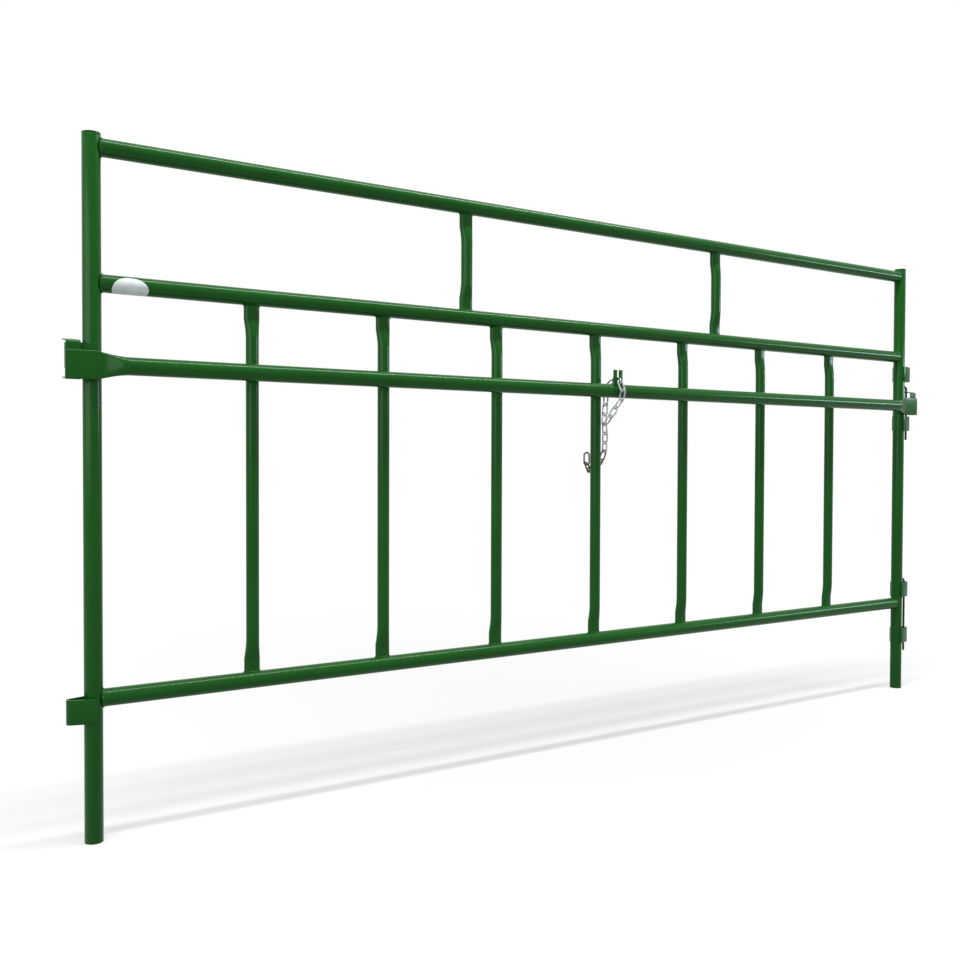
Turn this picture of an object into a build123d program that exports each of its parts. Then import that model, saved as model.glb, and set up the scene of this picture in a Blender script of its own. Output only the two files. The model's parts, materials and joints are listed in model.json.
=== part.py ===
# Calf pass livestock panel: a tubular steel fence panel whose calf bar hooks over the end clips.
# X runs along the panel from the left post to the right post, Y to the back and Z up.
# The origin is the middle of the left post's foot.

from math import asin, atan2, cos, degrees, hypot, radians, sin, tan
import os

from build123d import *

# Overall sizes, in millimetres
PIN_PITCH = 3048.0  # from one panel's drop pin line to the next one's
PANEL_HEIGHT = 1600.0
PIN_REACH = 46.0  # from a post's axis out to its drop pin line
POST_PITCH = PIN_PITCH - 2 * PIN_REACH

# Tubes
FRAME_TUBE_D = 41.3
DIVIDER_TUBE_D = 31.8
TUBE_WALL = 1.6

# Rail and bar levels
TOP_RAIL_DROP = 6.0  # from the posts' ends down to the top of the top rail
TOP_RAIL_Z = PANEL_HEIGHT - TOP_RAIL_DROP - FRAME_TUBE_D / 2
MIDDLE_RAIL_Z = 1268.0
CALF_BAR_Z = 1080.0
BOTTOM_RAIL_Z = 326.5

# Uprights between the rails
DIVIDERS = 7
FIRST_DIVIDER_X = 376.5
DIVIDER_PITCH = 362.0
STAYS_X = (998.0, 1970.0)
PRESSED_WIDTH = 39.4
PRESSED_THICKNESS = 22.0
PRESSED_LENGTH = 40.0
PRESSED_TAPER = 50.0
OVAL_CORNER_X = 0.6  # where the section's arcs meet, as a share of its half width and half depth
OVAL_CORNER_Y = 0.8

# Calf bar, which passes in front of the posts and the dividers
CALF_BAR_Y = -42.5
FLAT_HEIGHT = 65.0
FLAT_THICKNESS = 5.0
FLAT_Y = -33.2
FLAT_REACH = 64.0  # from a post's axis out to the end of the flattened tube
FLAT_INBOARD = 10.0
FLAT_TAPER = 80.0
FLAT_SLIT = 1.4
BAR_CORNER_TURN = 35.0  # from the bar's top to where its arcs meet, in degrees

# Channel brackets behind the flattened ends
BRACKET_PLATE = 3.0
BRACKET_INNER = 30.0  # from a post's axis to the bracket's inner and outer edges
BRACKET_OUTER = 62.0
BRACKET_HEIGHT = 88.0
BRACKET_Z = 1090.0
BRACKET_BACK = 17.0
BRACKET_TILT = 8.0  # the flanges rise towards the back by this many degrees
BRACKET_CORNER_R = 8.0
BRACKET_BEND_R = 5.0  # inside the bends

# Strap clips on the posts
CLIP_PLATE = 5.0
CLIP_HEIGHT = 56.0
CLIP_NOSE_R = 8.0
CLIP_GRIP = 4.0  # how far the straps run along the post on each side of its axis
CLIP_BITE = 0.4  # the straps lie this far inside the post's widest line
LEFT_UPPER_CLIP_Z = 1102.0
LEFT_LOWER_CLIP_Z = 302.5
RIGHT_UPPER_CLIPS_Z = (1203.0, 1015.0)
RIGHT_LOWER_CLIPS_Z = (378.0, 202.0)

# Drop pins
PIN_D = 8.0
PIN_TAIL = 34.0  # how far a pin shows below its lowest clip
PIN_BEND_R = 10.0
PIN_HANDLE = 32.0
UPPER_PIN_RISE = 12.0  # from the bracket's highest edge, or the highest clip, up to the handle
LOWER_PIN_RISE = 6.0
PIN_HOLE_D = 12.0

# Latch chain, on the middle divider
MIDDLE_DIVIDER_X = FIRST_DIVIDER_X + DIVIDER_PITCH * (DIVIDERS // 2)
WIRE_D = 4.5
LINK_LENGTH = 42.0
LINK_WIDTH = 22.0
LINK_SIDES = 8
LINK_STEPS = 6  # straight steps round each end of a link
HINGE_REACH = 14.8  # from a link's centre to the point where it turns on the next one
CHAIN_GAP = 0.4  # between the calf bar and the links that stand on edge against it
CHAIN_TURN = 15.3  # the link in the keeper's slot leans this many degrees to the front
FRONT_RUN = 3  # straight links below the calf bar, in front of it
FRONT_SHIFT = 3.0  # how far each hinge round the bar stands to the right, and behind the bar to the left
BACK_SHIFT = 2.0
LINK_PLAY = 0.5  # between the two runs where they share a link

# The ways in which the chain's links point, one by one, from the calf bar down and back up to the divider
BACK_WAY = [(-0.12, 0.12, -1), (-0.12, -0.04, -1), (-0.12, -0.04, -1), (-0.12, -0.04, -1)]
TAIL_WAY = [(0.25, 0.2, -0.95), (0.25, 0.3, -0.92), (0.2, 0.35, -0.91)]
ANCHOR_WAY = [(-0.1, 0.38, -0.92), (-0.39, 0.415, -0.83), (-0.96, 0, -0.15), (-0.6, -0.477, 0.635), (0, 0, 1)]

# Chain keeper on the calf bar
KEEPER_X = MIDDLE_DIVIDER_X + 38.5
KEEPER_WIDTH = 34.0
KEEPER_RISE = 42.0
KEEPER_PLATE = 3.5
KEEPER_SLOT = 8.0
KEEPER_SLOT_LOW = 1096.9  # the level of the slot's floor
KEEPER_Y = -57.0

# Caps and plugs in the post ends
CAP_LIP = 3.0
CAP_DEPTH = 18.0
PLUG_DEPTH = 22.0

os.makedirs("parts", exist_ok=True)


def save(node, shape):
    """Write one piece of the panel as its own STEP file."""
    export_step(shape, f"parts/{node}.step")


def rod(start, end, diameter):
    """A solid round bar between two points."""
    axis = Vector(*end) - Vector(*start)
    plane = Plane(origin=start, z_dir=axis)
    return extrude(plane * Circle(diameter / 2), axis.length)


def tube(start, end, diameter):
    """A round tube between two points."""
    return rod(start, end, diameter) - rod(start, end, diameter - 2 * TUBE_WALL)


def post_body(x, low, high):
    """The space that a post fills."""
    return rod((x, 0, low), (x, 0, high), FRAME_TUBE_D)


def rail_body(z, low, high):
    """The space that a rail fills."""
    return rod((low, 0, z), (high, 0, z), FRAME_TUBE_D)


# Posts
for side, x in (("left", 0.0), ("right", POST_PITCH)):
    save(f"{side}_post", tube((x, 0, 0), (x, 0, PANEL_HEIGHT), FRAME_TUBE_D))

# Rails with coped ends
RAILS = {"top_rail": TOP_RAIL_Z, "middle_rail": MIDDLE_RAIL_Z, "bottom_rail": BOTTOM_RAIL_Z}
for name, z in RAILS.items():
    rail = tube((0, 0, z), (POST_PITCH, 0, z), FRAME_TUBE_D)
    for x in (0.0, POST_PITCH):
        rail = rail - post_body(x, z - FRAME_TUBE_D, z + FRAME_TUBE_D)
    save(name, rail)


def oval(half_width, half_depth, plane):
    """A section in four arcs: two flat ones at the front and the back, and two tight ones at the sides."""
    corner = (half_width * OVAL_CORNER_X, half_depth * OVAL_CORNER_Y)
    corners = [corner, (-corner[0], corner[1]), (-corner[0], -corner[1]), (corner[0], -corner[1])]
    middles = [(0, half_depth), (-half_width, 0), (0, -half_depth), (half_width, 0)]
    arcs = [ThreePointArc(corners[i], middles[i], corners[(i + 1) % 4]) for i in range(4)]
    return plane * make_face(arcs)


def pressed_section(z, wall):
    """The flattened oval of an upright's pressed end, flush with the tube at the back."""
    back = DIVIDER_TUBE_D / 2 - PRESSED_THICKNESS / 2
    return oval(PRESSED_WIDTH / 2 - wall, PRESSED_THICKNESS / 2 - wall, Plane((0, back, z)))


def round_section(z, wall):
    """The upright's own round section."""
    return oval(DIVIDER_TUBE_D / 2 - wall, DIVIDER_TUBE_D / 2 - wall, Plane((0, 0, z)))


def upright_core(low, high, wall):
    """The upright's outer form, or its bore when a wall is taken off."""
    bottom_flat = low + PRESSED_LENGTH
    bottom_round = bottom_flat + PRESSED_TAPER
    top_flat = high - PRESSED_LENGTH
    top_round = top_flat - PRESSED_TAPER
    core = extrude(pressed_section(low, wall), PRESSED_LENGTH)
    core = core + loft([pressed_section(bottom_flat, wall), round_section(bottom_round, wall)])
    core = core + extrude(round_section(bottom_round, wall), top_round - bottom_round)
    core = core + loft([round_section(top_round, wall), pressed_section(top_flat, wall)])
    return core + extrude(pressed_section(top_flat, wall), PRESSED_LENGTH)


def upright(low_rail, high_rail):
    """A divider or a stay at X = 0, coped to the rails below and above it."""
    shape = upright_core(low_rail, high_rail, 0.0) - upright_core(low_rail, high_rail, TUBE_WALL)
    for z in (low_rail, high_rail):
        shape = shape - rail_body(z, -PRESSED_WIDTH, PRESSED_WIDTH)
    return shape


divider = upright(BOTTOM_RAIL_Z, MIDDLE_RAIL_Z)
for number in range(1, DIVIDERS + 1):
    save(f"divider_{number}", Pos(FIRST_DIVIDER_X + DIVIDER_PITCH * (number - 1), 0, 0) * divider)

stay = upright(MIDDLE_RAIL_Z, TOP_RAIL_Z)
for number, x in enumerate(STAYS_X, start=1):
    save(f"stay_{number}", Pos(x, 0, 0) * stay)


def bar_section(x, wall):
    """The calf bar's round section, in four arcs that match the flattened one."""
    r = FRAME_TUBE_D / 2 - wall
    plane = Plane((x, CALF_BAR_Y, CALF_BAR_Z), x_dir=(0, 1, 0), z_dir=(1, 0, 0))
    turn = radians(BAR_CORNER_TURN)
    corners = [(r * sin(turn), r * cos(turn)), (-r * sin(turn), r * cos(turn))]
    corners += [(-r * sin(turn), -r * cos(turn)), (r * sin(turn), -r * cos(turn))]
    middles = [(0, r), (-r, 0), (0, -r), (r, 0)]
    arcs = [ThreePointArc(corners[i], middles[i], corners[(i + 1) % 4]) for i in range(4)]
    return plane * make_face(arcs)


def flat_section(x, height, thickness):
    """The calf bar's flattened section, with round edges at the top and the bottom."""
    plane = Plane((x, FLAT_Y, CALF_BAR_Z), x_dir=(0, 1, 0), z_dir=(1, 0, 0))
    r = thickness / 2
    top = height / 2 - r
    edges = [
        ThreePointArc((r, top), (0, height / 2), (-r, top)),
        Line((-r, top), (-r, -top)),
        ThreePointArc((-r, -top), (0, -height / 2), (r, -top)),
        Line((r, -top), (r, top)),
    ]
    return plane * make_face(edges)


def calf_bar_form(wall, height, thickness, reach):
    """The calf bar's outer form, or its bore, from end to end."""
    left_end = -reach
    left_flat = FLAT_INBOARD
    left_round = FLAT_INBOARD + FLAT_TAPER
    right_round = POST_PITCH - left_round
    right_flat = POST_PITCH - left_flat
    right_end = POST_PITCH - left_end
    form = extrude(flat_section(left_end, height, thickness), left_flat - left_end)
    form = form + loft([flat_section(left_flat, height, thickness), bar_section(left_round, wall)])
    form = form + extrude(bar_section(left_round, wall), right_round - left_round)
    form = form + loft([bar_section(right_round, wall), flat_section(right_flat, height, thickness)])
    return form + extrude(flat_section(right_flat, height, thickness), right_end - right_flat)


calf_bar = calf_bar_form(0.0, FLAT_HEIGHT, FLAT_THICKNESS, FLAT_REACH)
bar_bore = calf_bar_form(TUBE_WALL, FLAT_HEIGHT - FLAT_THICKNESS + FLAT_SLIT, FLAT_SLIT, FLAT_REACH + 1.0)
save("calf_bar", calf_bar - bar_bore)


def bracket(outboard):
    """A channel bracket about a post's axis: web in front, flanges to the back, holes on the pin line."""
    web_front = FLAT_Y + FLAT_THICKNESS / 2
    web_back = web_front + BRACKET_PLATE
    low = BRACKET_Z - BRACKET_HEIGHT / 2
    high = BRACKET_Z + BRACKET_HEIGHT / 2
    depth = BRACKET_BACK - web_front
    rise = depth * tan(radians(BRACKET_TILT))
    channel = Polyline(
        (BRACKET_BACK, low + rise),
        (web_front, low),
        (web_front, high),
        (BRACKET_BACK, high + rise),
        (BRACKET_BACK, high + rise - BRACKET_PLATE),
        (web_back, high - BRACKET_PLATE),
        (web_back, low + BRACKET_PLATE),
        (BRACKET_BACK, low + rise + BRACKET_PLATE),
        close=True,
    )
    face = make_face(channel)
    outside = face.vertices().group_by(Axis.X)[0]
    face = fillet(outside, BRACKET_BEND_R + BRACKET_PLATE)
    inside = [corner for corner in face.vertices() if abs(corner.X - web_back) < BRACKET_PLATE / 100]
    face = fillet(inside, BRACKET_BEND_R)
    plane = Plane((BRACKET_INNER, 0, 0), x_dir=(0, 1, 0), z_dir=(1, 0, 0))
    body = extrude(plane * face, BRACKET_OUTER - BRACKET_INNER)
    middle = ((BRACKET_INNER + BRACKET_OUTER) / 2, (web_front + BRACKET_BACK) / 2, low)
    plan = Pos(*middle) * Rectangle(BRACKET_OUTER - BRACKET_INNER, depth)
    plan = fillet(plan.vertices().group_by(Axis.Y)[-1], BRACKET_CORNER_R)
    body = body & extrude(plan, high + rise - low)
    body = body - rod((PIN_REACH, 0, low), (PIN_REACH, 0, high + rise), PIN_HOLE_D)
    return body if outboard > 0 else mirror(body, Plane.YZ)


save("calf_bar_left_bracket", bracket(-1))
save("calf_bar_right_bracket", Pos(POST_PITCH, 0, 0) * bracket(1))


def clip(z, outboard):
    """A strap clip about a post's axis: two legs along the post that close in a round nose."""
    outer_y = FRAME_TUBE_D / 2 + CLIP_PLATE
    inner_y = FRAME_TUBE_D / 2 - CLIP_BITE
    plane = Plane((0, 0, z - CLIP_HEIGHT / 2))

    def profile(half, nose):
        """The hull of the legs' ends and the nose."""
        nose_edges = (Pos(PIN_REACH, 0) * Circle(nose)).edges()
        legs = Polyline((CLIP_GRIP, half), (-CLIP_GRIP, half), (-CLIP_GRIP, -half), (CLIP_GRIP, -half))
        return plane * make_hull([*nose_edges, *legs.edges()])

    strap = extrude(profile(outer_y, CLIP_NOSE_R + CLIP_PLATE), CLIP_HEIGHT)
    strap = strap - extrude(profile(inner_y, CLIP_NOSE_R), CLIP_HEIGHT)
    strap = strap - post_body(0.0, z - CLIP_HEIGHT, z + CLIP_HEIGHT)
    return strap if outboard > 0 else mirror(strap, Plane.YZ)


save("left_upper_clip", clip(LEFT_UPPER_CLIP_Z, -1))
save("left_lower_clip", clip(LEFT_LOWER_CLIP_Z, -1) - rail_body(BOTTOM_RAIL_Z, 0.0, FRAME_TUBE_D))
for level, heights in (("upper", RIGHT_UPPER_CLIPS_Z), ("lower", RIGHT_LOWER_CLIPS_Z)):
    for place, z in zip(("high", "low"), heights):
        save(f"right_{level}_clip_{place}", Pos(POST_PITCH, 0, 0) * clip(z, 1))


def drop_pin(low, high):
    """A round drop pin on the right pin line, with a handle bent to the back."""
    x = POST_PITCH + PIN_REACH
    handle_z = high + PIN_D / 2
    handle_end = (x, PIN_HANDLE + PIN_BEND_R, handle_z)
    path = FilletPolyline((x, 0, low), (x, 0, handle_z), handle_end, radius=PIN_BEND_R)
    return sweep(Plane((x, 0, low)) * Circle(PIN_D / 2), path=path)


flange_top = BRACKET_Z + BRACKET_HEIGHT / 2
flange_edge = flange_top + (BRACKET_BACK - FLAT_Y) * tan(radians(BRACKET_TILT))
upper_pin_low = RIGHT_UPPER_CLIPS_Z[1] - CLIP_HEIGHT / 2 - PIN_TAIL
save("upper_drop_pin", drop_pin(upper_pin_low, flange_edge + UPPER_PIN_RISE))
lower_pin_low = RIGHT_LOWER_CLIPS_Z[1] - CLIP_HEIGHT / 2 - PIN_TAIL
lower_clips_top = RIGHT_LOWER_CLIPS_Z[0] + CLIP_HEIGHT / 2
save("lower_drop_pin", drop_pin(lower_pin_low, lower_clips_top + LOWER_PIN_RISE))

# Chain keeper: a slotted plate that stands on the calf bar
keeper_plane = Plane((KEEPER_X, KEEPER_Y + KEEPER_PLATE / 2, CALF_BAR_Z), x_dir=(1, 0, 0), z_dir=(0, -1, 0))
keeper_top = FRAME_TUBE_D / 2 + KEEPER_RISE
slot_low = KEEPER_SLOT_LOW - CALF_BAR_Z
slot_height = keeper_top - slot_low
keeper_face = Pos(0, keeper_top / 2) * Rectangle(KEEPER_WIDTH, keeper_top)
slot_face = Pos(0, slot_low + slot_height / 2) * Rectangle(KEEPER_SLOT, slot_height)
keeper = extrude(keeper_plane * (keeper_face - slot_face), KEEPER_PLATE)
keeper = keeper - rod(
    (KEEPER_X - KEEPER_WIDTH, CALF_BAR_Y, CALF_BAR_Z),
    (KEEPER_X + KEEPER_WIDTH, CALF_BAR_Y, CALF_BAR_Z),
    FRAME_TUBE_D,
)
save("chain_keeper", keeper)


def link(start, end, across):
    """One chain link between its two hinge points, with its width along one direction."""
    bend = (LINK_WIDTH - WIRE_D) / 2
    straight = LINK_LENGTH - LINK_WIDTH
    along = (end - start).normalized()
    plane = Plane((start + end) * 0.5, x_dir=along, z_dir=along.cross(across))
    turns = [-90 + 180 * step / LINK_STEPS for step in range(LINK_STEPS + 1)]
    half = [(straight / 2 + bend * cos(radians(turn)), bend * sin(radians(turn))) for turn in turns]
    path = Polyline(*half, *[(-x, -y) for x, y in half], close=True)
    section = Plane((0, -bend, 0), z_dir=(1, 0, 0)) * RegularPolygon(WIRE_D / 2, LINK_SIDES)
    return plane * sweep(section, path=path, transition=Transition.RIGHT)


def chain(hinges, across):
    """Links from hinge to hinge, each turned a quarter from the one before it."""
    links = []
    for start, end in zip(hinges, hinges[1:]):
        along = (end - start).normalized()
        across = (across - along * across.dot(along)).normalized()
        links.append(link(start, end, across))
        across = along.cross(across)
    return links


def run(start, directions):
    """Hinge points that leave a first one by a link's pitch in each direction in turn."""
    hinges = [start]
    for direction in directions:
        hinges.append(hinges[-1] + Vector(*direction).normalized() * 2 * HINGE_REACH)
    return hinges


# The chain passes over the calf bar in the keeper's slot, and its two runs meet below the bar
bar_reach = FRAME_TUBE_D / 2 + LINK_WIDTH / 2 + CHAIN_GAP
hinge_r = hypot(bar_reach, HINGE_REACH)
half_turn = degrees(asin(HINGE_REACH / hinge_r))
top_angle = 90.0 + CHAIN_TURN


def round_bar(angle, x):
    """A hinge point on the chain's way round the calf bar."""
    y = CALF_BAR_Y + hinge_r * cos(radians(angle))
    return Vector(x, y, CALF_BAR_Z + hinge_r * sin(radians(angle)))


front = [round_bar(top_angle + (2 * i + 1) * half_turn, KEEPER_X + FRONT_SHIFT * i) for i in range(3)]
back = [round_bar(top_angle - (2 * i + 1) * half_turn, KEEPER_X - BACK_SHIFT * i) for i in range(2)]
back = back[:1] + run(back[1], BACK_WAY)

# The front run leans back to the end of the back run, a wire's thickness in front of it
wire_step = WIRE_D + LINK_PLAY
tip_reach = LINK_LENGTH / 2 - WIRE_D / 2 - HINGE_REACH
lean = atan2(back[-1].Y - wire_step - front[-1].Y, front[-1].Z - back[-1].Z)
front_end = back[-1] + Vector(0, -wire_step - tip_reach * sin(lean), tip_reach * (cos(lean) - 1))
front = front[:2] + run(front[2], [tuple(front_end - front[-1])] * FRONT_RUN)
links = chain([back[0], front[0]], Vector(0, 0, 1))
links += chain(front, Vector(1, 0, 0)) + chain(back, Vector(1, 0, 0))

# The two runs share one link, and the tail goes on from it
tail = run(back[-1] + Vector(0, -wire_step / 2, -LINK_PLAY), TAIL_WAY)
save("latch_chain", Compound(links + chain(tail, Vector(0, 1, 0))))

# The last links lead round behind the middle divider to the one that is welded on its back
save("anchor_chain", Compound(chain(run(tail[-1], ANCHOR_WAY), Vector(1, 0, 0))))

# Caps in the tops of the posts and plugs in their feet
for side, x in (("left", 0.0), ("right", POST_PITCH)):
    cap = Pos(x, 0, PANEL_HEIGHT + CAP_LIP / 2) * Cylinder(FRAME_TUBE_D / 2, CAP_LIP)
    stem = Pos(x, 0, PANEL_HEIGHT - CAP_DEPTH / 2) * Cylinder(FRAME_TUBE_D / 2 - TUBE_WALL, CAP_DEPTH)
    save(f"{side}_top_cap", cap + stem)
    plug = Pos(x, 0, PLUG_DEPTH / 2) * Cylinder(FRAME_TUBE_D / 2 - TUBE_WALL, PLUG_DEPTH)
    save(f"{side}_foot_plug", plug)
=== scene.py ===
"""Look and setting of the calf pass livestock panel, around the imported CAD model."""

import json
from math import atan2, copysign, cos, hypot, pi, radians, sin, sqrt

import bpy
import numpy as np
from mathutils import Matrix, Vector

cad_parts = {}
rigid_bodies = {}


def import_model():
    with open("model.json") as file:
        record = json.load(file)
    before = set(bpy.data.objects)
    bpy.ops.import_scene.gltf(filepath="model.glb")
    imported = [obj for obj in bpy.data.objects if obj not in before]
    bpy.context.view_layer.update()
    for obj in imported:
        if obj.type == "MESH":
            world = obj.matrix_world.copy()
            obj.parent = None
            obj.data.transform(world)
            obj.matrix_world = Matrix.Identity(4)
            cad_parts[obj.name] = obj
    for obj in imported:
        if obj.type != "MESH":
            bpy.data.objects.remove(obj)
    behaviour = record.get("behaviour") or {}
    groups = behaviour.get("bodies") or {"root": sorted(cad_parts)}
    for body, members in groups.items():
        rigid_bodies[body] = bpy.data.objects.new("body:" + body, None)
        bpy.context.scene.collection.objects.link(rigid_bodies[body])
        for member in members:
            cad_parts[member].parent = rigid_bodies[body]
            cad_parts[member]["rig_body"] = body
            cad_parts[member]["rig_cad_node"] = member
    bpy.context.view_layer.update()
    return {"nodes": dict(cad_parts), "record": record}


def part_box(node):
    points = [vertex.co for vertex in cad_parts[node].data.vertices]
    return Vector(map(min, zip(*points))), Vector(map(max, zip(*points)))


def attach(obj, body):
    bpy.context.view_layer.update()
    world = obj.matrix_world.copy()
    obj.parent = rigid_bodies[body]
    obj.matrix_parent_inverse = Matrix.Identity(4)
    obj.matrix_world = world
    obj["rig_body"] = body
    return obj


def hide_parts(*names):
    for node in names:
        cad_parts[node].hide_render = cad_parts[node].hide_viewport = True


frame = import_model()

BODIES = frame["record"]["behaviour"]["bodies"]
BODY_OF = {node: body for body, nodes in BODIES.items() for node in nodes}
SLOT_OF = {part["node"]: part["material_slot"] for part in frame["record"]["subparts"]}

SIDES = ("left", "right")
# The rails below and above each upright
UPRIGHTS = {f"divider_{number}": ("bottom_rail", "middle_rail") for number in range(1, 8)}
UPRIGHTS |= {f"stay_{number}": ("middle_rail", "top_rail") for number in (1, 2)}

# Modelling; all lengths are in metres
UPRIGHT_TURN = (0, 0, 0)
LEVEL_TURN = (0, pi / 2, 0)  # lays a piece that stands along Z down along X
NEAR = 0.0001  # a vertex this near to a place counts as on it
MERGE_DISTANCE = 0.00001
BEVEL_ANGLE = radians(40)
FLAT_ANGLE = radians(1)  # facets that turn less than this become one face
PLATE_SHARP = radians(35)  # edges that turn more than this stay sharp when a piece is shaded smooth
TUBE_SHARP = radians(50)
BEAD_SHARP = radians(60)

# Frame tube
TUBE_SIDES = 48
FRAME_R = 0.02065
WALL = 0.0016
RIM_EDGE = 0.0004
RIM_STEPS = 2
BORE_DEPTH = 0.001  # how far a post's bore goes in, to its cap or its plug
RAIL_OVERLAP = 0.003  # how far a rail's end runs into the post

# Dividers and stays, pressed at their ends
UPRIGHT_R = 0.0159
PRESSED_WIDTH = 0.0394
PRESSED_DEPTH = 0.022
PRESSED_LENGTH = 0.040
PRESSED_TAPER = 0.050
TAPER_STEPS = 10
BULGE = 0.35  # how far a squeezed side bulges, from a flat 0 to an ellipse's 1

# Calf bar
FLAT_HEIGHT = 0.065
FLAT_DEPTH = 0.0052
FLAT_Y = -0.0332
FLAT_INBOARD = 0.004  # from a post's axis to where the flat end starts to narrow
FLAT_TAPER = 0.071
BAR_STEPS = 16

# Rounded edges of the plates and caps
PLATE_EDGE = 0.0010
CAP_EDGE = 0.0009
KEEPER_EDGE = 0.0007
EDGE_STEPS = 3

# Weld beads
BEAD_R = 0.0024
BEAD_STEPS = 96
BEAD_SIDES = 8
BEAD_RIPPLES = ((0.16, 31, 0.0), (0.08, 13, 1.0))  # each wave's height, number and shift
BEAD_RISE = 0.0008  # from the line where two pieces meet out to the bead's middle
BEAD_SPREAD = 0.8  # a bead's thickness as a share of its round section's
RAIL_BEAD_LENGTH = 0.9  # the same along the rail
RAIL_BEAD_OUT = 0.0002  # from the rail's surface out to the bead's middle
# At the rail's front and back the bead fills the gap beside the post
GAP_SWELL = 0.9  # how much thicker it is there
GAP_BACK = 0.0012  # how much nearer to the post it lies there
GAP_IN = 0.0030  # how much nearer to the rail's axis it lies there

# Chain links
WIRE_R = 0.0025
WIRE_SIDES = 12
LINK_BEND_R = 0.00875
LINK_STEPS = 28
LINK_STRAIGHT = 0.020
PLACE_DIGITS = 6  # two corners that agree so far count as one

# Blank oval label on the middle rail
LABEL_X = (0.040, 0.122)
LABEL_HALF_ARC = radians(85)
LABEL_TURN = radians(-39)
LABEL_LIFT = 0.00025
LABEL_THICKNESS = 0.0002
LABEL_COLUMNS = 40
LABEL_ROWS = 24

# Colours
COAT_DARK = (0.0022, 0.071, 0.0030, 1.0)
COAT_LIGHT = (0.0030, 0.086, 0.0048, 1.0)
COAT_FLECK = (0.008, 0.104, 0.012, 1.0)
DUST = (0.20, 0.22, 0.15, 1.0)
ZINC_BRIGHT = (0.46, 0.48, 0.50, 1.0)
ZINC_DULL = (0.17, 0.18, 0.19, 1.0)
# A copy of the zinc that is darker all over, for the anchor chain
DARKER_ZINC_BRIGHT = (0.11, 0.095, 0.065, 1.0)
DARKER_ZINC_DULL = (0.045, 0.042, 0.026, 1.0)
ZINC_SPOT = (0.05, 0.05, 0.05, 1.0)
PLASTIC_DARK = (0.004, 0.009, 0.006, 1.0)
PLASTIC_LIGHT = (0.008, 0.016, 0.011, 1.0)
VINYL_CLEAN = (0.68, 0.75, 0.75, 1.0)
VINYL_SOILED = (0.58, 0.64, 0.62, 1.0)
WHITE = (1.0, 1.0, 1.0, 1.0)

# Floor, sky and lamps
PANEL_MIDDLE_X = 1.5
FLOOR_SIZE = 60.0
FLOOR_DROP = 0.0005  # how far the floor lies below the feet
FLOOR_GREY = (0.35, 0.35, 0.35, 1.0)
FLOOR_LAMP_LIGHT = 0.34  # the light that the lamps bring to the floor's middle
FLOOR_FAR_GLOW = 0.85  # how brightly it glows where the lamps don't reach
SKY_LIGHT = 0.45  # the sky's strength as a light; the camera sees a strength of 1
TOP_LAMP_Z = 4.2

# Camera, as fitted to the photograph's frame
CAMERA_PLACE = (-0.5216, -2.4112, 0.8725)
CAMERA_YAW = radians(33.0)
CAMERA_PITCH = radians(-1.157)
CAMERA_ROLL = radians(0.183)
FOCAL_PIXELS = 1020.5
FRAME_PIXELS = 960.0
SENSOR_WIDTH = 36.0


# Modelling tools
def activate(obj):
    """Make one object the only selected and active one."""
    bpy.ops.object.select_all(action="DESELECT")
    obj.select_set(True)
    bpy.context.view_layer.objects.active = obj


def start_edit(obj, action="DESELECT"):
    """Enter edit mode on one object, with nothing or everything in it selected."""
    activate(obj)
    bpy.ops.object.mode_set(mode="EDIT")
    bpy.ops.mesh.select_all(action=action)


def stop_edit():
    """Go back to object mode."""
    bpy.ops.object.mode_set(mode="OBJECT")


def pick_vertices(obj, wanted):
    """In edit mode, select only the vertices whose place meets a test."""
    bpy.ops.mesh.select_all(action="DESELECT")
    bpy.ops.mesh.select_mode(type="VERT")
    stop_edit()
    for vertex in obj.data.vertices:
        vertex.select = wanted(vertex.co)
    bpy.ops.object.mode_set(mode="EDIT")


def settle(obj):
    """Put the object's place into its mesh, so that the object sits at the origin."""
    activate(obj)
    bpy.ops.object.transform_apply(location=True, rotation=True, scale=True)


def new_piece(name):
    """Name and settle the primitive that was just added."""
    obj = bpy.context.object
    obj.name = name
    settle(obj)
    return obj


def smooth(obj, sharp=PLATE_SHARP):
    """Shade the object smooth apart from its sharp edges."""
    activate(obj)
    bpy.ops.object.shade_smooth_by_angle(angle=sharp)


def apply_modifier(obj, kind, **settings):
    """Add a modifier to an object and apply it."""
    activate(obj)
    modifier = obj.modifiers.new(kind.lower(), kind)
    for key, value in settings.items():
        setattr(modifier, key, value)
    bpy.ops.object.modifier_apply(modifier=modifier.name)


def round_edges(obj, width, steps):
    """Round the object's sharp edges."""
    apply_modifier(
        obj, "BEVEL", width=width, segments=steps, limit_method="ANGLE", angle_limit=BEVEL_ANGLE
    )


def recalculate(obj):
    """Merge doubles and turn the faces outwards."""
    start_edit(obj, "SELECT")
    bpy.ops.mesh.remove_doubles(threshold=MERGE_DISTANCE)
    bpy.ops.mesh.normals_make_consistent(inside=False)
    stop_edit()


def duplicate(obj, name, place=Matrix.Identity(4)):
    """A copy of an object with its own mesh, moved by a matrix."""
    copy = obj.copy()
    copy.data = obj.data.copy()
    copy.name = name
    copy.data.transform(place)
    bpy.context.scene.collection.objects.link(copy)
    return copy


def join(pieces, name):
    """Join pieces into one."""
    activate(pieces[0])
    for piece in pieces:
        piece.select_set(True)
    bpy.ops.object.join()
    joined = bpy.context.view_layer.objects.active
    joined.name = name
    return joined


def limited(share):
    """A share kept between 0 and 1."""
    return min(max(share, 0.0), 1.0)


def blend(low, high, share):
    """A value between two others."""
    return low + (high - low) * share


def pressed(share):
    """How flat a tube is along its taper: 1 at the pressed end and 0 where it is round."""
    return 1.0 - sin(pi / 2 * limited(share))


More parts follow.
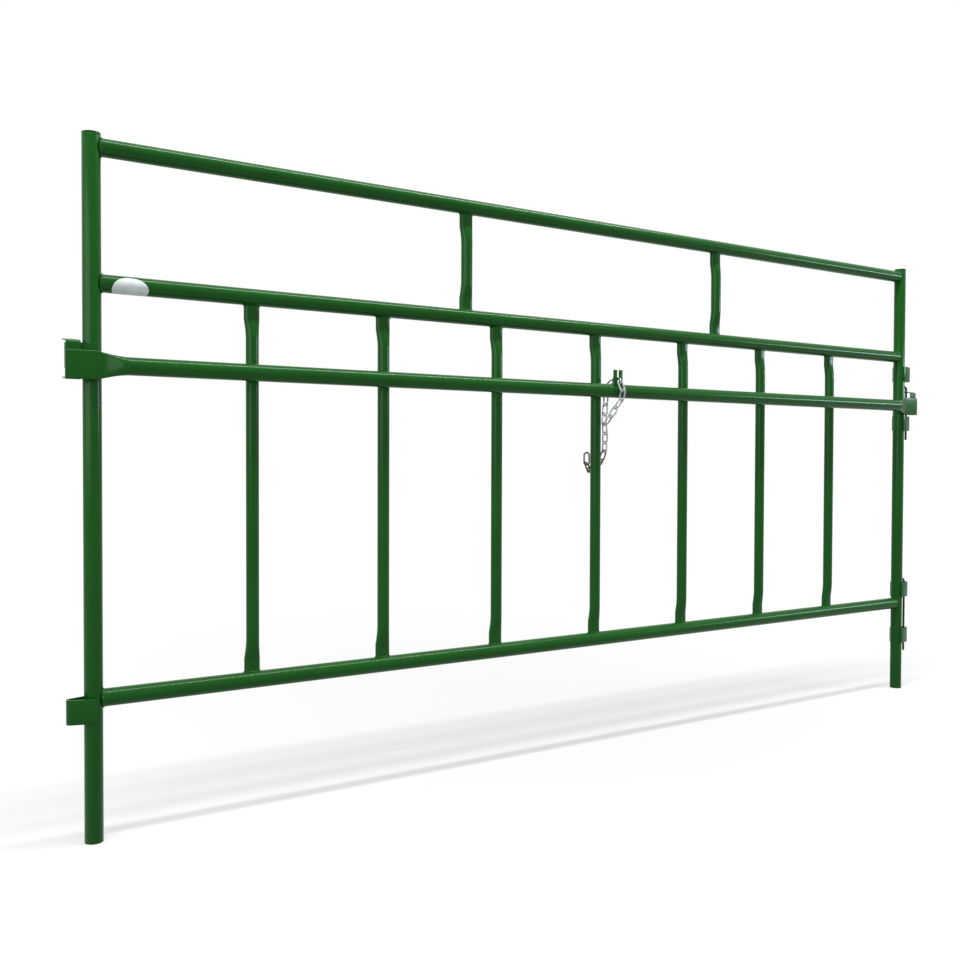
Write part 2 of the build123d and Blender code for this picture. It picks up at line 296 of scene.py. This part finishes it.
# Materials
class Value:
    """A shader value: arithmetic on it adds Math nodes."""

    def __init__(self, finish, socket):
        self.finish = finish
        self.socket = socket

    def math(self, operation, *others):
        """A Math node on this value and others."""
        sockets = dict(enumerate((self, *others)))
        return self.finish.add("ShaderNodeMath", {"operation": operation}, sockets)

    def __add__(self, other):
        return self.math("ADD", other)

    __radd__ = __add__

    def __mul__(self, other):
        return self.math("MULTIPLY", other)

    __rmul__ = __mul__

    def __sub__(self, other):
        return self.math("SUBTRACT", other)

    def __rsub__(self, other):
        return self.finish.add("ShaderNodeMath", {"operation": "SUBTRACT"}, {0: other, 1: self})

    def between(self, low, high):
        """This value's share of the way from one value to another, kept between 0 and 1."""
        sockets = {"Value": self, "From Min": low, "From Max": high}
        return self.finish.add("ShaderNodeMapRange", {"clamp": True}, sockets, "Result")


class Finish:
    """The shader nodes of a material or of the sky."""

    def __init__(self, owner):
        owner.use_nodes = True
        self.owner = owner
        self.tree = owner.node_tree
        self.tree.nodes.clear()

    def add(self, kind, settings, sockets, output=0):
        """A node of any type: its settings first, then its sockets; returns one of its outputs."""
        node = self.tree.nodes.new(kind)
        for key, value in settings.items():
            setattr(node, key, value)
        for key, value in sockets.items():
            if isinstance(value, Value):
                self.tree.links.new(value.socket, node.inputs[key])
            else:
                node.inputs[key].default_value = value
        return Value(self, node.outputs[output]) if node.outputs else None

    def place(self):
        """Object coordinates."""
        return self.add("ShaderNodeTexCoord", {}, {}, "Object")

    def noise(self, scale, detail):
        """Noise from 0 to 1, with so many waves to the metre."""
        sockets = {"Vector": self.place(), "Scale": scale, "Detail": detail}
        return self.add("ShaderNodeTexNoise", {}, sockets)

    def mix(self, share, first, second):
        """A colour between two others."""
        sockets = {"Factor": share, 6: first, 7: second}
        return self.add("ShaderNodeMix", {"data_type": "RGBA"}, sockets, 2)

    def upward(self):
        """How far the surface faces up, from 0 to 1."""
        normal = self.add("ShaderNodeNewGeometry", {}, {}, "Normal")
        return self.add("ShaderNodeSeparateXYZ", {}, {"Vector": normal}, "Z").between(0.2, 1.0)

    def seen(self):
        """1 on the rays by which the camera, glossy and clear surfaces see this, and else 0."""
        direct, mirrored, through = (
            self.add("ShaderNodeLightPath", {}, {}, f"Is {kind} Ray")
            for kind in ("Camera", "Glossy", "Transmission")
        )
        return direct.math("MAXIMUM", mirrored).math("MAXIMUM", through)

    def bump(self, height, distance, strength, **below):
        """A bump that feeds Normal, on the one below it if there is one."""
        sockets = {"Height": height, "Distance": distance, "Strength": strength, **below}
        return self.add("ShaderNodeBump", {}, sockets, "Normal")

    def surface(self, **sockets):
        """The shader and the material's output."""
        sockets = {key.replace("_", " "): value for key, value in sockets.items()}
        shader = self.add("ShaderNodeBsdfPrincipled", {}, sockets)
        self.add("ShaderNodeOutputMaterial", {}, {"Surface": shader})


def new_finish(name):
    """A material with no nodes yet."""
    return Finish(bpy.data.materials.new(name))


def powder_coat():
    """Semi-gloss green powder coat: orange peel, faint clouding and a little dust on top."""
    finish = new_finish("green_powder_coat")
    cloud = finish.noise(scale=5.0, detail=3.0)
    fleck = finish.noise(scale=180.0, detail=3.0)
    peel = finish.noise(scale=620.0, detail=1.0)
    ripple = finish.noise(scale=150.0, detail=1.0)
    dust = finish.upward() * fleck.between(0.35, 0.75) * 0.10
    green = finish.mix(cloud.between(0.3, 0.7), COAT_DARK, COAT_LIGHT)
    green = finish.mix(fleck.between(0.45, 0.8) * 0.3, green, COAT_FLECK)
    green = finish.mix(dust, green, DUST)
    rough = fleck * 0.08 + cloud * 0.05 + dust * 0.5 + 0.14
    skin = finish.bump(ripple, distance=0.00010, strength=0.5)
    skin = finish.bump(peel, distance=0.00004, strength=0.5, Normal=skin)
    finish.surface(Base_Color=green, Roughness=rough, Specular_IOR_Level=0.15, Normal=skin)
    return finish


def zinc_plate(name, bright, dull):
    """Zinc on the chain, with cloudy tarnish and dark spots."""
    finish = new_finish(name)
    cloud = finish.noise(scale=90.0, detail=3.0)
    spot = finish.noise(scale=420.0, detail=2.0)
    tarnish = cloud.between(0.45, 0.75)
    zinc = finish.mix(tarnish, bright, dull)
    zinc = finish.mix(spot.between(0.62, 0.75) * 0.7, zinc, ZINC_SPOT)
    rough = tarnish * 0.22 + spot * 0.10 + 0.20
    skin = finish.bump(spot, distance=0.00006, strength=0.6)
    finish.surface(Base_Color=zinc, Metallic=1.0, Roughness=rough, Normal=skin)
    return finish


def dark_plastic():
    """Dark moulded plastic of the caps and plugs."""
    finish = new_finish("dark_moulded_plastic")
    grain = finish.noise(scale=900.0, detail=2.0)
    cloud = finish.noise(scale=60.0, detail=2.0)
    black = finish.mix(cloud.between(0.3, 0.7), PLASTIC_DARK, PLASTIC_LIGHT)
    rough = grain * 0.15 + 0.42
    skin = finish.bump(grain, distance=0.00005, strength=0.6)
    finish.surface(Base_Color=black, Roughness=rough, Specular_IOR_Level=0.2, Normal=skin)
    return finish


def label_vinyl():
    """Plain white vinyl with a faint soiling."""
    finish = new_finish("white_label_vinyl")
    soil = finish.noise(scale=70.0, detail=4.0)
    grain = finish.noise(scale=800.0, detail=1.0)
    white = finish.mix(soil.between(0.4, 0.8), VINYL_CLEAN, VINYL_SOILED)
    rough = soil * 0.15 + 0.28
    skin = finish.bump(grain, distance=0.00002, strength=0.4)
    finish.surface(Base_Color=white, Roughness=rough, Normal=skin)
    return finish


COAT = powder_coat()
ZINC = zinc_plate("zinc_plate", ZINC_BRIGHT, ZINC_DULL)
# The anchor chain's zinc: the same finish, darker all over
DARKER_ZINC = zinc_plate("darker_zinc", DARKER_ZINC_BRIGHT, DARKER_ZINC_DULL)
FINISH_OF = {"green_coat": COAT, "zinc_chain": ZINC, "dark_plastic": dark_plastic()}
for node_name, node_object in frame["nodes"].items():
    for material_slot in node_object.material_slots:
        material_slot.material = FINISH_OF[SLOT_OF[node_name]].owner


def finish_piece(piece, finish, body):
    """Give a piece its finish and its body."""
    piece.data.materials.clear()
    piece.data.materials.append(finish.owner)
    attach(piece, body)


def for_node(piece, node, finish=None):
    """Finish a piece that stands for one CAD node."""
    finish_piece(piece, finish or FINISH_OF[SLOT_OF[node]], BODY_OF[node])
    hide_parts(node)


# Places read from the frame
def middle(node, axis):
    """The middle of a node's box on one axis."""
    low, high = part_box(node)
    return (low[axis] + high[axis]) / 2


PANEL_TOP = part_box("left_post")[1].z
POSTS_X = {side: middle(f"{side}_post", 0) for side in SIDES}
RAILS_Z = {name: middle(name, 2) for name in ("top_rail", "middle_rail", "bottom_rail")}


# Posts and rails
def frame_tube(name, length, place, turn):
    """A closed length of frame tube round its middle."""
    bpy.ops.mesh.primitive_cylinder_add(
        vertices=TUBE_SIDES, radius=FRAME_R, depth=length, location=place, rotation=turn
    )
    return new_piece(name)


def post(side):
    """A post: a tube with its ends open down to the cap and the plug."""
    place = (POSTS_X[side], 0, PANEL_TOP / 2)
    obj = frame_tube(f"{side}_post_tube", PANEL_TOP, place, UPRIGHT_TURN)
    for end, inward in ((0.0, BORE_DEPTH), (PANEL_TOP, -BORE_DEPTH)):
        start_edit(obj)
        pick_vertices(obj, lambda co: abs(co.z - end) < NEAR)
        bpy.ops.mesh.inset(thickness=WALL)
        bpy.ops.mesh.extrude_region_move(TRANSFORM_OT_translate={"value": (0, 0, inward)})
        stop_edit()
    round_edges(obj, RIM_EDGE, RIM_STEPS)
    smooth(obj)
    for_node(obj, f"{side}_post")


def rail(node):
    """A rail: a tube whose ends run into the posts."""
    low = POSTS_X["left"] + FRAME_R - RAIL_OVERLAP
    high = POSTS_X["right"] - FRAME_R + RAIL_OVERLAP
    place = ((low + high) / 2, 0, RAILS_Z[node])
    obj = frame_tube(f"{node}_tube", high - low, place, LEVEL_TURN)
    smooth(obj)
    for_node(obj, node)


for post_side in SIDES:
    post(post_side)
for rail_node in RAILS_Z:
    rail(rail_node)


# Tubes with squeezed ends
def extrude_rings(name, along, places, ring_at):
    """A closed tube along X (axis 0) or Z (axis 2), extruded from one elliptic ring to the next.

    For a place on that axis, ring_at gives the ring's centre, half width and half depth.
    """
    stands = along == 2
    last, last_width, last_depth = ring_at(places[0])[0], 1.0, 1.0
    turn = UPRIGHT_TURN if stands else LEVEL_TURN
    bpy.ops.mesh.primitive_circle_add(
        vertices=TUBE_SIDES, radius=1.0, fill_type="NGON", location=last, rotation=turn
    )
    obj = new_piece(name)
    start_edit(obj, "SELECT")
    for number, place in enumerate(places):
        centre, width, depth = ring_at(place)
        if number:
            bpy.ops.mesh.extrude_region_move(TRANSFORM_OT_translate={"value": centre - last})
        wider = width / last_width
        deeper = depth / last_depth
        scale = (wider, deeper, 1.0) if stands else (1.0, deeper, wider)
        bpy.ops.transform.resize(value=scale, center_override=centre)
        last, last_width, last_depth = centre, width, depth
    stop_edit()
    recalculate(obj)
    return obj


def squeeze(obj, along, ring_at):
    """Turn each elliptic ring into a squeezed tube's: bulging sides that meet in round edges."""
    wide = 2 - along
    for vertex in obj.data.vertices:
        centre, width, depth = ring_at(vertex.co[along])
        across = vertex.co[wide] - centre[wide]
        through = vertex.co.y - centre.y
        angle = atan2(abs(across) / width, abs(through) / depth)
        flat = width - depth
        run = angle / (pi / 2) * (flat + depth * pi / 2)
        turn = max(run - flat, 0.0) / depth
        place = vertex.co.copy()
        place[wide] = centre[wide] + copysign(min(run, flat) + depth * sin(turn), across)
        place.y = centre.y + copysign(depth * cos(turn), through)
        vertex.co = place.lerp(vertex.co, BULGE)


def squeezed_tube(node, along, places, ring_at):
    """The tube that stands for a node with squeezed ends."""
    obj = extrude_rings(f"{node}_tube", along, places, ring_at)
    squeeze(obj, along, ring_at)
    smooth(obj, TUBE_SHARP)
    for_node(obj, node)


def upright(node):
    """A divider or a stay: pressed flat at both ends and flush with the tube at the back."""
    x = middle(node, 0)
    foot, head = (corner.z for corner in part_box(node))

    def ring_at(z):
        """The ring at a height."""
        near = min(z - foot, head - z)
        press = pressed((near - PRESSED_LENGTH) / PRESSED_TAPER)
        width = blend(UPRIGHT_R, PRESSED_WIDTH / 2, press)
        depth = blend(UPRIGHT_R, PRESSED_DEPTH / 2, press)
        return Vector((x, UPRIGHT_R - depth, z)), width, depth

    taper = [PRESSED_TAPER * step / TAPER_STEPS for step in range(TAPER_STEPS + 1)]
    steps = [0.0, PRESSED_LENGTH / 2] + [PRESSED_LENGTH + step for step in taper]
    heights = [foot + step for step in steps] + [head - step for step in reversed(steps)]
    squeezed_tube(node, 2, heights, ring_at)


def calf_bar():
    """The calf bar: a level tube with both ends crushed flat and set back to the brackets."""
    low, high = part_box("calf_bar")
    z = (low.z + high.z) / 2
    bar_y = low.y + FRAME_R
    flat_end = POSTS_X["left"] + FLAT_INBOARD

    def ring_at(x):
        """The ring at a place along the bar."""
        near = min(x, low.x + high.x - x)
        share = limited((near - flat_end) / FLAT_TAPER)
        flat = (1.0 + cos(pi * share)) / 2  # the front sinks back more gently than the tube widens
        height = blend(FRAME_R, FLAT_HEIGHT / 2, pressed(share))
        depth = blend(FRAME_R, FLAT_DEPTH / 2, flat)
        return Vector((x, blend(bar_y, FLAT_Y, flat), z)), height, depth

    half = [low.x] + [flat_end + FLAT_TAPER * step / BAR_STEPS for step in range(BAR_STEPS + 1)]
    places = half + [low.x + high.x - x for x in reversed(half)]
    squeezed_tube("calf_bar", 0, places, ring_at)


for upright_node in UPRIGHTS:
    upright(upright_node)
calf_bar()


# Plates, caps and pins that keep their CAD shape
def dress(node, edge=0.0):
    """A copy of a CAD node with its facets merged and its edges rounded."""
    obj = duplicate(frame["nodes"][node], f"{node}_piece")
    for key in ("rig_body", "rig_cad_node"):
        del obj[key]
    obj.parent = None
    recalculate(obj)
    start_edit(obj, "SELECT")
    bpy.ops.mesh.dissolve_limited(angle_limit=FLAT_ANGLE)
    stop_edit()
    if edge:
        round_edges(obj, edge, EDGE_STEPS)
    smooth(obj)
    for_node(obj, node)


for bracket_side in SIDES:
    dress(f"calf_bar_{bracket_side}_bracket", PLATE_EDGE)
    dress(f"{bracket_side}_top_cap", CAP_EDGE)
for clip_node in [name for name in frame["nodes"] if "clip" in name]:
    dress(clip_node, PLATE_EDGE)
dress("chain_keeper", KEEPER_EDGE)
dress("upper_drop_pin")
dress("lower_drop_pin")


# Weld beads
def bead(name, node, shape):
    """A rippled weld bead, bent from a ring to where two pieces meet.

    shape places a point by its angle on the ring, and its distance from the ring's middle line
    outwards and along the ring's axis.
    """
    bpy.ops.mesh.primitive_torus_add(
        major_segments=BEAD_STEPS,
        minor_segments=BEAD_SIDES,
        major_radius=FRAME_R,
        minor_radius=BEAD_R,
    )
    obj = new_piece(name)
    for vertex in obj.data.vertices:
        angle = atan2(vertex.co.y, vertex.co.x)
        waves = sum(height * sin(angle * count + shift) for height, count, shift in BEAD_RIPPLES)
        outward = (hypot(vertex.co.x, vertex.co.y) - FRAME_R) * (1.0 + waves)
        vertex.co = shape(angle, outward, vertex.co.z * (1.0 + waves))
    recalculate(obj)
    smooth(obj, BEAD_SHARP)
    finish_piece(obj, COAT, BODY_OF[node])


def rail_bead(node, side):
    """The bead where a rail meets a post."""
    x = POSTS_X[side]
    z = RAILS_Z[node]
    sign = 1 if side == "left" else -1

    def shape(angle, outward, along):
        """A point of the bead round the rail's end."""
        gap = cos(angle) ** 2
        swell = 1.0 + GAP_SWELL * gap
        meet = max(FRAME_R * abs(sin(angle)), FRAME_R - RAIL_OVERLAP)
        away = meet + BEAD_RISE - GAP_BACK * gap + along * swell * RAIL_BEAD_LENGTH
        reach = FRAME_R + RAIL_BEAD_OUT - GAP_IN * gap + outward * swell * BEAD_SPREAD
        return Vector((x + sign * away, reach * cos(angle), z + reach * sin(angle)))

    bead(f"{node}_{side}_weld", node, shape)


def upright_bead(node, end, rail_node, sign):
    """The bead where an upright's pressed end meets a rail."""
    x = middle(node, 0)
    z = RAILS_Z[rail_node]
    back = UPRIGHT_R - PRESSED_DEPTH / 2

    def shape(angle, outward, along):
        """A point of the bead round the pressed end."""
        wide = PRESSED_WIDTH / 2 + outward * BEAD_SPREAD
        deep = PRESSED_DEPTH / 2 + outward * BEAD_SPREAD
        y = back + deep * sin(angle)
        rise = sqrt(max(FRAME_R**2 - y**2, 0)) + BEAD_RISE + along * BEAD_SPREAD
        return Vector((x + wide * cos(angle), y, z + sign * rise))

    bead(f"{node}_{end}_weld", node, shape)


for rail_node in RAILS_Z:
    for post_side in SIDES:
        rail_bead(rail_node, post_side)
for upright_node, (rail_below, rail_above) in UPRIGHTS.items():
    upright_bead(upright_node, "foot", rail_below, 1)
    upright_bead(upright_node, "head", rail_above, -1)


# Chains
def model_link():
    """One chain link: a ring of round wire, stretched in the middle."""
    bpy.ops.mesh.primitive_torus_add(
        major_segments=LINK_STEPS,
        minor_segments=WIRE_SIDES,
        major_radius=LINK_BEND_R,
        minor_radius=WIRE_R,
    )
    obj = new_piece("link_pattern")
    start_edit(obj)
    for sign in (1, -1):
        pick_vertices(obj, lambda co: co.x * sign > NEAR)
        bpy.ops.transform.translate(value=(sign * LINK_STRAIGHT / 2, 0, 0))
    stop_edit()
    return obj


def islands(mesh):
    """The corners of each loose part of a mesh, as arrays; corners on one place count as one."""
    points = np.array([tuple(vertex.co) for vertex in mesh.vertices])
    keys = {}
    merged = [keys.setdefault(tuple(np.round(point, PLACE_DIGITS)), len(keys)) for point in points]
    parent = list(range(len(keys)))

    def root(item):
        """The corner that stands for the loose part of this one."""
        while parent[item] != item:
            parent[item] = parent[parent[item]]
            item = parent[item]
        return item

    for edge in mesh.edges:
        first, second = (root(merged[corner]) for corner in edge.vertices)
        parent[first] = second
    groups = {}
    for key, item in keys.items():
        groups.setdefault(root(item), []).append(key)
    return [np.array(group) for group in groups.values()]


def link_place(corners):
    """The matrix that lays the pattern link on one CAD link, by the link's longest directions."""
    centre = corners.mean(0)
    axes = np.linalg.svd(corners - centre, full_matrices=False)[2]
    along = Vector(axes[0])
    across = Vector(axes[1])
    turn = Matrix((along, across, along.cross(across))).transposed().to_4x4()
    return Matrix.Translation(Vector(centre)) @ turn


def chain(node, pattern, finish):
    """A chain of smooth links in the places of the CAD ones."""
    links = [
        duplicate(pattern, f"{node}_link_{number}", link_place(corners))
        for number, corners in enumerate(islands(frame["nodes"][node].data))
    ]
    obj = join(links, f"{node}_links")
    smooth(obj, BEAD_SHARP)
    for_node(obj, node, finish)


link_pattern = model_link()
chain("latch_chain", link_pattern, ZINC)
chain("anchor_chain", link_pattern, DARKER_ZINC)
bpy.data.objects.remove(link_pattern)


# Blank label
def label():
    """A thin oval of vinyl, wrapped on the round front of the middle rail."""
    bpy.ops.mesh.primitive_grid_add(
        x_subdivisions=LABEL_COLUMNS, y_subdivisions=LABEL_ROWS, size=2.0
    )
    obj = new_piece("blank_label")
    label_middle = sum(LABEL_X) / 2
    label_half = (LABEL_X[1] - LABEL_X[0]) / 2
    reach = FRAME_R + LABEL_LIFT
    z = RAILS_Z["middle_rail"]
    for vertex in obj.data.vertices:
        u, v = vertex.co.x, vertex.co.y
        x = label_middle + u * sqrt(1 - v * v / 2) * label_half
        angle = v * sqrt(1 - u * u / 2) * LABEL_HALF_ARC + LABEL_TURN
        vertex.co = (x, -reach * cos(angle), z + reach * sin(angle))
    apply_modifier(obj, "SOLIDIFY", thickness=LABEL_THICKNESS, offset=0.0)
    recalculate(obj)
    smooth(obj, BEAD_SHARP)
    finish_piece(obj, label_vinyl(), BODY_OF["middle_rail"])


label()


# Floor, sky and lamps
def pale_floor():
    """A white floor that keeps the object's shadow: it glows more where the lamps reach it less."""
    finish = new_finish("pale_floor")
    centred = {"Vector": finish.place(), "Location": (-PANEL_MIDDLE_X, 0, 0)}
    centred = finish.add("ShaderNodeMapping", {}, centred)
    distance = finish.add("ShaderNodeVectorMath", {"operation": "LENGTH"}, {0: centred}, "Value")
    lit = (distance * distance * (1 / TOP_LAMP_Z**2) + 1.0).math("POWER", -2.0)
    strength = finish.seen() * (FLOOR_FAR_GLOW - lit * FLOOR_LAMP_LIGHT)
    matt = finish.add("ShaderNodeBsdfDiffuse", {}, {"Color": FLOOR_GREY})
    glow = finish.add("ShaderNodeEmission", {}, {"Color": WHITE, "Strength": strength})
    both = finish.add("ShaderNodeAddShader", {}, {0: matt, 1: glow})
    finish.add("ShaderNodeOutputMaterial", {}, {"Surface": both})
    return finish


def floor():
    """A plain floor under the panel."""
    bpy.ops.mesh.primitive_plane_add(size=FLOOR_SIZE, location=(PANEL_MIDDLE_X, 0, -FLOOR_DROP))
    obj = new_piece("floor")
    obj.data.materials.append(pale_floor().owner)


def sky():
    """A plain white sky that the camera and the gloss see as white."""
    finish = Finish(bpy.data.worlds.new("studio"))
    strength = finish.seen() * (1.0 - SKY_LIGHT) + SKY_LIGHT
    glow = finish.add("ShaderNodeBackground", {}, {"Color": WHITE, "Strength": strength})
    finish.add("ShaderNodeOutputWorld", {}, {"Surface": glow})
    bpy.context.scene.world = finish.owner


def add_to_scene(name, data, place, turn):
    """An object for a lamp's or camera's data."""
    obj = bpy.data.objects.new(name, data)
    obj.location = place
    obj.rotation_euler = turn.to_euler()
    bpy.context.scene.collection.objects.link(obj)
    return obj


def lamp(name, place, aim, size, power, colour=(1, 1, 1)):
    """A soft lamp, of a width and a depth."""
    data = bpy.data.lights.new(name, "AREA")
    data.color = colour
    data.shape = "RECTANGLE"
    data.size, data.size_y = size
    data.energy = power
    add_to_scene(name, data, place, (Vector(aim) - Vector(place)).to_track_quat("-Z", "Y"))


floor()
sky()
lamp("key", place=(-3.8, -1.8, 2.3), aim=(0.8, 0, 0.8), size=(5.0, 3.0), power=130)
lamp(
    "top",
    place=(PANEL_MIDDLE_X, -0.7, TOP_LAMP_Z),
    aim=(PANEL_MIDDLE_X, 0, 0.8),
    size=(5.0, 0.25),
    power=165,
)
lamp(
    "front",
    place=(5.7, -2.2, 1.8),
    aim=(2.2, 0, 1.1),
    size=(1.5, 0.5),
    power=45,
    colour=(0.72, 0.96, 1.0),
)


# Camera
def camera():
    """The camera, with the photograph's angle and framing."""
    data = bpy.data.cameras.new("photo_camera")
    data.sensor_width = SENSOR_WIDTH
    data.lens = FOCAL_PIXELS / FRAME_PIXELS * SENSOR_WIDTH
    data.clip_start = 0.05
    data.clip_end = 200.0
    turn = Matrix.Rotation(-CAMERA_YAW, 3, "Z")
    turn = turn @ Matrix.Rotation(pi / 2 + CAMERA_PITCH, 3, "X")
    turn = turn @ Matrix.Rotation(CAMERA_ROLL, 3, "Z")
    bpy.context.scene.camera = add_to_scene("photo_camera", data, CAMERA_PLACE, turn)


camera()
bpy.context.scene.view_settings.view_transform = "Standard"
